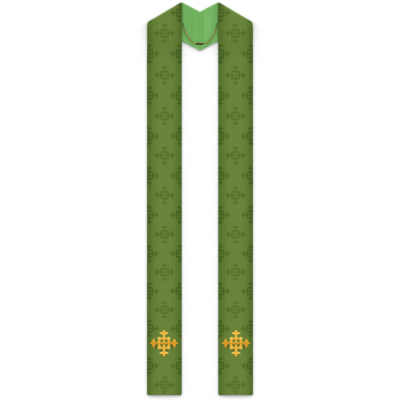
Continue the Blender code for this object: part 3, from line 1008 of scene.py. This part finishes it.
def frontContact(kind, inward, row, point):
    # painted shade, 1 where a front's inner edge lies on the lining across the neck: on the lining
    # beside it and on the front's own rim
    if kind == "lining":
        shadeStrength = mix(1.0, paintedContactShade["weakestShade"], smoothStep(point.y, *paintedContactShade["shadeWeakens"]))
        beside = 1 - smoothStep(point.x + cut["gap"] / 2, *paintedContactShade["onLining"])
        return shadeStrength * beside if row <= 1 else 0.0
    overLining = smoothStep(point.y, *paintedContactShade["starts"])
    return overLining * (1 - smoothStep(inward, *paintedContactShade["onFace"])) if row > 2 else 0.0


def crown(share):
    return cut["crownRise"] * (1 - (2 * share - 1) ** 4)


def faceSkin(side, inward, row):
    near = nearestEdge(inward, row)
    rounding = min(near / cut["edgeRound"], 1.0)
    skin = cut["edgeLow"] + (cut["thick"] - cut["edgeLow"]) * math.sqrt(1 - (1 - rounding) ** 2)
    if row <= 2:
        return skin
    loft = smoothStep((row - 2) * frontRun(0.0), 0, cut["crownStart"])
    quiet = smoothStep(near, 0, cut["quietEdge"])
    return skin + crown(inward / cut["width"]) * loft \
        + creaseHeight(side, inward, alongStrip(inward, row)) * quiet


liningForm = {
    "rollRise": 0.35 * mm,        # the turned edge stands up by this
    "rollWide": 1.6 * mm,
    "swellRise": 0.12 * mm,       # a slow swell wanders from side to side down the fronts
    "swellWide": 60.0 * mm,
    "swellWander": 40.0 * mm,
    "swellTurns": 21,             # radians in a metre
    "seamRise": 0.45 * mm,        # beside the centre-back seam
    "seamWide": 2.2 * mm,
    "shown": (-4 * mm, 8 * mm),   # the ridges fade in between these, from a front's inner edge
    "quietEdge": 10.0 * mm,
}


def liningSkin(side, inward, row):
    # height of the lining's outside, which lies on the surface under the fronts
    near = nearestEdge(inward, row)
    rolled = liningForm["rollRise"] * (1 - smoothStep(near, 0, liningForm["rollWide"]))
    if row > 1:
        wide = liningForm["swellWide"]
        wander = math.sin(alongStrip(inward, row) * liningForm["swellTurns"])
        lift = 0.0 if row <= 2 else liningForm["swellRise"] * softHump(
            wander * liningForm["swellWander"] + inward - wide, wide)
        return rolled + lift * smoothStep(fromFold(inward, row), 0, wide)
    point = layPoint(inward, row, 0.0)
    shown = smoothStep(cut["gap"] / 2 + point.x, *liningForm["shown"])
    quiet = smoothStep(near, 0, liningForm["quietEdge"])
    seam = liningForm["seamRise"] * (1 - smoothStep(-point.x, 0, liningForm["seamWide"]))
    x = point.x if side == "left" else -point.x
    return rolled + seam - neckRidgeHeight(x, point.y) * shown * quiet


def drawnIn(inward, row):
    # the hem's corners are rounded, and the sewing draws the sides of a front in
    inner, outer = [cornerInset(fromHem(row)) + drawn for drawn in sidesDrawn(row)]
    return inner + inward * (1 - (inner + outer) / cut["width"])


# ---- the cloth is cut flat, its edges are turned under, and then it is laid and folded
shells = {
    "face": {
        "rowStep": 3.2 * mm, "columnStep": 2.9 * mm, "cloth": 0.22 * mm, "inset": 0.0,
        "levels": [(0.0, 1.52 * mm), (0.3 * mm, 1.32 * mm), (8.0 * mm, 1.34 * mm)],
    },
    "lining": {
        "rowStep": 5.0 * mm, "columnStep": 3.4 * mm, "cloth": 0.18 * mm, "inset": 0.4 * mm,
        "levels": [(0.0, 0.72 * mm), (0.3 * mm, 0.97 * mm), (6.0 * mm, 0.98 * mm)],
    },
}
edgeColumns = [0.0, 0.35, 0.8, 1.4, 2.2, 3.2, 4.6]     # mm from each edge
hemRows = [8.4, 6.6, 5.2, 4.0, 3.0, 2.1, 1.4, 0.8, 0.35, 0.0]     # mm from the hem
seamRows = [0.0, 0.004, 0.012]     # shares of the back part's length, from its seam
backStep = 2.6 * mm
bendRows = 18
firstRow = 1.0 * mm     # past the fold, from where the rows open out
rowGrowth = 1.12


def columnPlaces(shell):
    low = [shell["inset"] + distance * mm for distance in edgeColumns]
    high = [cut["width"] - place for place in reversed(low)]
    count = round((high[0] - low[-1]) / shell["columnStep"])
    middle = [mix(low[-1], high[0], k / count) for k in range(1, count)]
    return low + middle + high


def rowPlaces(shell):
    back = round(backRun(0.6) / backStep)
    places = seamRows + [mix(seamRows[-1], 1.0, k / back) for k in range(1, back)]
    places += [1 + k / bendRows for k in range(bendRows)]
    run = frontRun(0.0)
    hem = run - shell["inset"]
    distance, step = 0.0, firstRow
    while distance < hem - 10 * mm:
        places.append(2 + distance / run)
        distance += step
        step = min(step * rowGrowth, shell["rowStep"])
    return places + [2 + (hem - toHem * mm) / run for toHem in hemRows]


def cutFlat(columns, rows):
    # x is the place across, y the row and z the height over the lining's outside
    cloth = bmesh.new()
    bmesh.ops.create_grid(cloth, x_segments=len(columns) - 1, y_segments=len(rows) - 1, size=0.5)
    for vert in cloth.verts:
        column = round((vert.co.x + 0.5) * (len(columns) - 1))
        row = round((vert.co.y + 0.5) * (len(rows) - 1))
        vert.co = (columns[column], rows[row], 0)
    return cloth


def turnEdges(cloth, columns, rows, levels):
    # each level says how far in from the edge the turned cloth runs, and how high
    edges = [edge for edge in cloth.edges if edge.is_boundary]
    tiny = 0.01 * mm
    tinyAtSeam, tinyAtHem = 0.0003, 0.00001     # in rows
    atInward = 0.0
    for inward, height in levels:
        made = bmesh.ops.extrude_edge_only(cloth, edges=edges)["geom"]
        edges = [part for part in made if isinstance(part, bmesh.types.BMEdge)
                 and part.is_boundary]
        for vert in [part for part in made if isinstance(part, bmesh.types.BMVert)]:
            x, y = vert.co.x, vert.co.y
            step = inward - atInward
            share = min(max(x / cut["width"], 0.0), 1.0)
            nearSeam = rows[0] + atInward / backRun(share)
            nearHem = rows[-1] - atInward / frontRun(0.0)
            if abs(x - columns[0] - atInward) < tiny:
                vert.co.x += step
            if abs(x - columns[-1] + atInward) < tiny:
                vert.co.x -= step
            if abs(y - nearSeam) < tinyAtSeam:
                vert.co.y += step / backRun(share)
            if abs(y - nearHem) < tinyAtHem:
                vert.co.y -= step / frontRun(0.0)
            vert.co.z = height
        atInward = inward


def repeatPlace(side, inward, up):
    # mm across from the middle figures, and mm along with every repeat drawn to one length
    below = (damask["firstFigureY"] - (up - cut["reach"] / 2)) / mm
    count = 0.0
    for length in damask["halfRepeats"]:
        if below <= length:
            break
        below -= length
        count += 1
    across = (inward - damask["figureInward"][side]) / mm
    return across, -(count + below / length) * damask["repeat"] / 2


def layCloth(side, kind, material):
    shell = shells[kind]
    columns, rows = columnPlaces(shell), rowPlaces(shell)
    cloth = cutFlat(columns, rows)
    skin = faceSkin if kind == "face" else liningSkin
    for vert in cloth.verts:
        vert.co.z = skin(side, vert.co.x, vert.co.y)
    turnEdges(cloth, columns, rows, shell["levels"])

    edgeLayer, paintedContactLayer, ridgeLayer = [
        cloth.verts.layers.float.new(name) for name in ("edgeDistance", "paintedContactShade", "ridge")]
    clothMap, repeatMap = [cloth.loops.layers.uv.new(name) for name in ("cloth", "repeat")]
    mapped = {}
    for vert in cloth.verts:
        inward, row, height = vert.co
        up = alongStrip(inward, row)
        mapped[vert] = ((inward, up), repeatPlace(side, inward, up))
        point = layPoint(drawnIn(inward, row), row, height)
        vert[edgeLayer] = shadedEdge(inward, row)
        vert[paintedContactLayer] = frontContact(kind, inward, row, point)
        # the ridge heights also set the lining's painted sheen and painted trough shade
        if kind == "lining" and row <= 1:
            ridgeX = point.x if side == "left" else -point.x
            vert[ridgeLayer] = neckRidgeHeight(ridgeX, point.y) / tallestRidge
        vert.co = (point.x * -halves[side], point.y, point.z)
    for face in cloth.faces:
        for loop in face.loops:
            loop[clothMap].uv, loop[repeatMap].uv = mapped[loop.vert]
    if (side == "right") != (kind == "lining"):
        bmesh.ops.reverse_faces(cloth, faces=cloth.faces)
    name = kind + "Cloth" + side.title()
    piece = addPiece(name, cloth, material)
    thicken(piece, "cloth", shell["cloth"])
    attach(piece, "root")
    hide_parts(kind + "_" + side)
    return piece


# ---- the floor and the light
stage = {
    "floorSide": 40.0,
    "floorDrop": 0.05 * mm,
    "floorColour": (0.9, 0.9, 0.9, 1),
    "skyLevel": 0.232,
    "lowestLamp": 30,              # a lamp under this throws no long shadow off the clasp
    # each lamp: the way it comes from and its height in degrees, and how wide it looks
    "lamps": {
        "topLamp": {"strength": 3.15, "from": 90, "height": 16, "wide": 20},
        "leftLamp": {"strength": 1.85, "from": 152, "height": 12, "wide": 20},
        "rightLamp": {"strength": 1.85, "from": 28, "height": 12, "wide": 20},
        "lowLeftLamp": {"strength": 0.81, "from": 200, "height": 45, "wide": 30},
        "lowRightLamp": {"strength": 0.81, "from": -20, "height": 45, "wide": 30},
    },
}


def addLamp(name, lamp, blockers):
    data = bpy.data.lights.new(name, "SUN")
    data.energy = lamp["strength"]
    data.angle = math.radians(lamp["wide"])
    around, up = math.radians(lamp["from"]), math.radians(lamp["height"])
    toLamp = Vector((math.cos(up) * math.cos(around), math.cos(up) * math.sin(around), math.sin(up)))
    sun = bpy.data.objects.new(name, data)
    sun.rotation_euler = toLamp.to_track_quat("Z", "Y").to_euler()
    bpy.context.scene.collection.objects.link(sun)
    if lamp["height"] < stage["lowestLamp"]:
        sun.light_linking.blocker_collection = blockers


def makeStage():
    plane = bmesh.new()
    bmesh.ops.create_grid(plane, x_segments=1, y_segments=1, size=stage["floorSide"] / 2,
                          matrix=Matrix.Translation((0, 0, -stage["floorDrop"])))
    material = newMaterial("paleFloor", stage["floorColour"],
                           {"Roughness": 0.9, "Specular IOR Level": 0.0})[0]
    floor = addPiece("paleFloor", plane, material)
    world = bpy.data.worlds.new("paleStudio")
    world.use_nodes = True
    sky = world.node_tree.nodes["Background"].inputs
    sky["Color"].default_value = white
    sky["Strength"].default_value = stage["skyLevel"]
    bpy.context.scene.world = world
    blockers = bpy.data.collections.new("shadowFree")
    blockers.objects.link(claspPiece)
    blockers.collection_objects[0].light_linking.link_state = "EXCLUDE"
    for name, lamp in stage["lamps"].items():
        addLamp(name, lamp, blockers)
    bpy.context.scene.view_settings.view_transform = "Standard"


makeStage()

for side in halves:
    face = layCloth(side, "face", damaskMaterial)
    lining = layCloth(side, "lining", satinMaterial)


# ---- the gold crosses: padded bands of satin stitch, some over others
goldCross = {
    "outward": 0.5 * mm,
    "up": -0.4 * mm,
    "base": 0.06 * mm,
    "ridge": 0.11 * mm,
    "padding": 0.7 * mm,          # a band of rise 1 is padded this high
    "pitch": 0.6 * mm,
    "columns": 8,
    "domeFlat": 4,                # a band's section: how flat its top is
    "domeSide": 0.55,             # and how steep its sides are
    "slimHalf": 2.4 * mm,         # a band whose half-width is under this is padded less
    "slimming": 0.6,
    "cloth": 0.16 * mm,
}
# each band: how far it rises, its tone, the ways it is turned over, and its line: points
# (across, up, half-width) in mm from the middle
# the bands' tones are partly painted sheen: stitches laid in another direction are painted lighter
# and deeper
bands = {
    "ring": (0.8, 0.70, "", None),
    "corner": (0.9, 0.04, "XY", [
        (12.4, 12.0, 2.4), (13.8, 13.2, 4.4), (15.6, 14.9, 5.8), (17.3, 16.4, 5.6),
        (18.9, 17.7, 4.1), (20.3, 18.9, 2.2), (21.4, 19.7, 0.4)]),
    "sideStem": (1.0, 0.95, "", [
        (-32, 0, 3.3), (-24, 0, 2.8), (0, 0, 3.0), (24, 0, 2.8), (32, 0, 3.3)]),
    "upStem": (1.1, 0.42, "", [
        (0, -32, 6.4), (0, -30.0, 5.8), (0, -27.6, 4.3), (0, -24.4, 3.6), (0, -16, 3.3),
        (0, 0, 3.1), (0, 16, 3.3), (0, 24.4, 3.6), (0, 27.6, 4.3), (0, 30.0, 5.8), (0, 32, 6.4)]),
    "bud": (1.15, 0.48, "Y", [
        (0, 34.0, 4.6), (0, 38.0, 4.3), (0, 40.6, 4.3), (0, 42.4, 3.7), (0, 43.8, 2.4),
        (0, 44.8, 0.5)]),
    "headArm": (1.0, 0.36, "Y", [
        (-15.1, 33.8, 0.9), (-14.0, 33.8, 2.2), (-12.4, 33.7, 2.9), (-9.0, 33.6, 3.4),
        (0, 33.3, 4.2), (9.0, 33.6, 3.4), (12.4, 33.7, 2.9), (14.0, 33.8, 2.2), (15.1, 33.8, 0.9)]),
    "barb": (1.0, 0.84, "XY", [
        (35.4, -0.6, 7.6), (35.3, 2.2, 7.2), (35.2, 5.0, 6.2), (35.1, 7.8, 5.1), (35.0, 10.2, 3.8),
        (34.9, 12.6, 2.3), (34.8, 15.0, 1.1), (34.7, 17.4, 0.3)]),
    "tip": (1.05, 0.86, "X", [
        (36.0, 0, 4.2), (39.6, 0, 3.6), (42.6, 0, 3.2), (45.0, 0, 2.3), (47.0, 0, 1.2),
        (48.2, 0, 0.3)]),
    "bossSide": (1.25, 0.84, "", [
        (-10.4, 0, 0.6), (-7.4, 0, 3.2), (0, 0, 4.4), (7.4, 0, 3.2), (10.4, 0, 0.6)]),
    "boss": (1.5, 1.0, "", [
        (-3.6, 0, 2.6), (-2.4, 0, 5.6), (0, 0, 6.6), (2.4, 0, 5.6), (3.6, 0, 2.6)]),
}
# the ring is nearly square, a little wider than tall, and heavier at its sides
ringSizes = {"across": 17.0 * mm, "up": 16.7 * mm, "squareness": 3.0,
             "halfAtSide": 4.2 * mm, "halfAtTop": 3.0 * mm}


def bandLine(points):
    if points is None:
        count = 2 * round(math.pi * ringSizes["up"] / goldCross["pitch"])
        line, power = [], ringSizes["squareness"]
        for k in range(count + 1):
            turn = 2 * math.pi * k / count
            cosine, sine = math.cos(turn), math.sin(turn)
            radius = (abs(cosine / ringSizes["across"]) ** power
                      + abs(sine / ringSizes["up"]) ** power) ** (-1 / power)
            half = mix(ringSizes["halfAtTop"], ringSizes["halfAtSide"], cosine ** 2)
            line.append(Vector((radius * cosine, radius * sine, half)))
        return line
    # half-widths travel as the third coordinate, so that they are smoothed with the line
    points = [Vector((x * mm, y * mm, half * mm)) for x, y, half in points]
    return smoothRoute(points, goldCross["pitch"] / 2)


def stitchBand(shape, points, rise, tone, flipX, flipY, place):
    line = bandLine(points)
    rows, columns = len(line) - 1, goldCross["columns"]
    toneLayer = shape.verts.layers.float["tone"]
    bandMap = shape.loops.layers.uv["band"]
    made = bmesh.ops.create_grid(shape, x_segments=columns, y_segments=rows, size=0.5)["verts"]
    mapped = {}
    for vert in made:
        k = round((vert.co.y + 0.5) * rows)
        share = math.sin((round((vert.co.x + 0.5) * columns) / columns - 0.5) * math.pi)
        ahead, behind = line[min(k + 1, rows)], line[max(k - 1, 0)]
        if points is None and k in (0, rows):
            ahead, behind = line[1], line[-2]
        along = Vector((ahead.x - behind.x, ahead.y - behind.y, 0)).normalized()
        sideways = Vector((along.y, -along.x, 0))
        half = line[k].z
        flat = Vector((line[k].x, line[k].y, 0)) + sideways * (half * share)
        dome = (1 - abs(share) ** goldCross["domeFlat"]) ** goldCross["domeSide"]
        slim = min(half / goldCross["slimHalf"], 1.0) ** goldCross["slimming"]
        ridge = goldCross["ridge"] * (1 if k % 2 else -1) * dome
        padded = goldCross["padding"] * rise * slim
        height = goldCross["base"] + padded * dome + ridge * slim
        vert[toneLayer] = tone
        mapped[vert] = (k * goldCross["pitch"] / 2, half * share)
        vert.co = place(flat.x * flipX, flat.y * flipY, height)
    faces = list({face for vert in made for face in vert.link_faces})
    for face in faces:
        for loop in face.loops:
            loop[bandMap].uv = mapped[loop.vert]
    if flipX * flipY < 0:
        bmesh.ops.reverse_faces(shape, faces=faces)


def makeCross(side):
    low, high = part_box("cross_" + side)
    centre = (low + high) / 2 + Vector((goldCross["outward"] * halves[side], goldCross["up"], 0))

    def onFront(x, y, above):
        inward = (centre.x + x) * halves[side] - cut["gap"] / 2
        share = inward / cut["width"]
        top = foldPoint(share, 1.0).y
        row = 2 + (top - centre.y - y) / (top + cut["reach"] / 2)
        return Vector((centre.x + x, centre.y + y, faceSkin(side, inward, row) + above))

    shape = bmesh.new()
    shape.verts.layers.float.new("tone")
    shape.loops.layers.uv.new("band")
    for rise, tone, turns, points in bands.values():
        for flipX in (1, -1) if "X" in turns else (1,):
            for flipY in (1, -1) if "Y" in turns else (1,):
                stitchBand(shape, points, rise, tone, flipX, flipY, onFront)
    piece = addPiece("stitchedCross" + side.title(), shape, goldMaterial)
    thicken(piece, "thread", goldCross["cloth"])
    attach(piece, "root")
    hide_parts("cross_" + side)


for side in halves:
    makeCross(side)
print("crosses stitched")


# ---- the rings that hold the chain, and the thread bars that hold the rings
eyes = {
    "tilt": math.radians(24),
    "barSide": 1.45 * mm,
    "barUp": 0.75 * mm,
    "barThread": 0.26 * mm,
    "barOffsets": [-0.62, -0.2, 0.22, 0.64],       # mm along the cloth's edge
    "barOutward": 0.25 * mm,
    "barLow": 0.1 * mm,
}


def makeEye(side):
    sign = halves[side]
    low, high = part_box("chain_eye_" + side)
    centre = (low + high) / 2
    ring = bmesh.new()
    turn = Matrix.Rotation(-sign * eyes["tilt"], 4, "Y")
    addRing(ring, chain["eyeRadius"], chain["eyeWire"], Matrix.Translation(centre) @ turn,
            steps=28, sides=10)
    bmesh.ops.recalc_face_normals(ring, faces=ring.faces)
    # the whole ring is painted in shade, under a front's edge
    paintedShadeLayer = ring.verts.layers.float.new("paintedMetalShade")
    for vert in ring.verts:
        vert[paintedShadeLayer] = 1.0
    piece = addPiece("chainRing" + side.title(), ring, copperMaterial)
    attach(piece, "root")
    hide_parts("chain_eye_" + side)

    bars = bmesh.new()
    edge = Vector((sign * (cut["gap"] / 2 + eyes["barOutward"]), centre.y,
                   centre.z - eyes["barLow"]))
    upright = Matrix.Rotation(math.pi / 2, 4, "X")
    squash = Matrix.Diagonal((1.0, eyes["barUp"] / eyes["barSide"], 1.0, 1.0))
    for offset in eyes["barOffsets"]:
        place = Matrix.Translation(edge + Vector((0, offset * mm, 0))) @ upright
        addRing(bars, eyes["barSide"], eyes["barThread"], place @ squash, steps=20, sides=6)
    bmesh.ops.recalc_face_normals(bars, faces=bars.faces)
    barPiece = addPiece("threadBars" + side.title(), bars, damaskThreadMaterial)
    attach(barPiece, "root")


for side in halves:
    makeEye(side)


# ---- slip stitches that close the lining to the turned edge of the face
slipStitch = {
    "spacing": 6.0 * mm,
    "long": 1.3 * mm,
    "thread": 0.26 * mm,
    "inward": 0.28 * mm,
    "height": 1.12 * mm,
}


def makeStitchMesh():
    stitch = bmesh.new()
    thin = slipStitch["thread"] / 2
    bmesh.ops.create_uvsphere(stitch, u_segments=6, v_segments=4, radius=1.0,
                              matrix=Matrix.Diagonal((thin, thin, slipStitch["long"] / 2, 1)))
    return meshOf("slipStitch", stitch)


def makeSlipStitches(side, stitchMesh):
    shape = bmesh.new()
    sign = -halves[side]

    def edgePoint(inward, row):
        return layPoint(drawnIn(inward, row), row, slipStitch["height"])

    def place(inward, row, stepInward, stepRow):
        point = edgePoint(inward, row)
        along = edgePoint(inward + stepInward, row + stepRow) - point
        point.x, along.x = point.x * sign, along.x * sign
        turn = along.to_track_quat("Z", "Y").to_matrix().to_4x4()
        stitch = stitchMesh.copy()
        stitch.transform(Matrix.Translation(point) @ turn)
        shape.from_mesh(stitch)
        bpy.data.meshes.remove(stitch)

    inner = slipStitch["inward"]
    for inward in (inner, cut["width"] - inner):
        share = inward / cut["width"]
        for first, run in ((0, backRun(share)), (2, frontRun(share))):
            reach = run - (cut["hemCorner"] if first else 0)
            count = int(reach / slipStitch["spacing"])
            for k in range(count):
                place(inward, first + (k + 0.5) * slipStitch["spacing"] / run, 0, 0.001)
    hemRow = 3 - inner / frontRun(0.0)
    count = int((cut["width"] - 2 * cut["hemCorner"]) / slipStitch["spacing"])
    for k in range(count):
        place(cut["hemCorner"] + (k + 0.5) * slipStitch["spacing"], hemRow, 0.5 * mm, 0)

    piece = addPiece("slipStitches" + side.title(), shape, satinThreadMaterial)
    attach(piece, "root")


stitchMesh = makeStitchMesh()
for side in halves:
    makeSlipStitches(side, stitchMesh)
bpy.data.meshes.remove(stitchMesh)
print("sewing done")
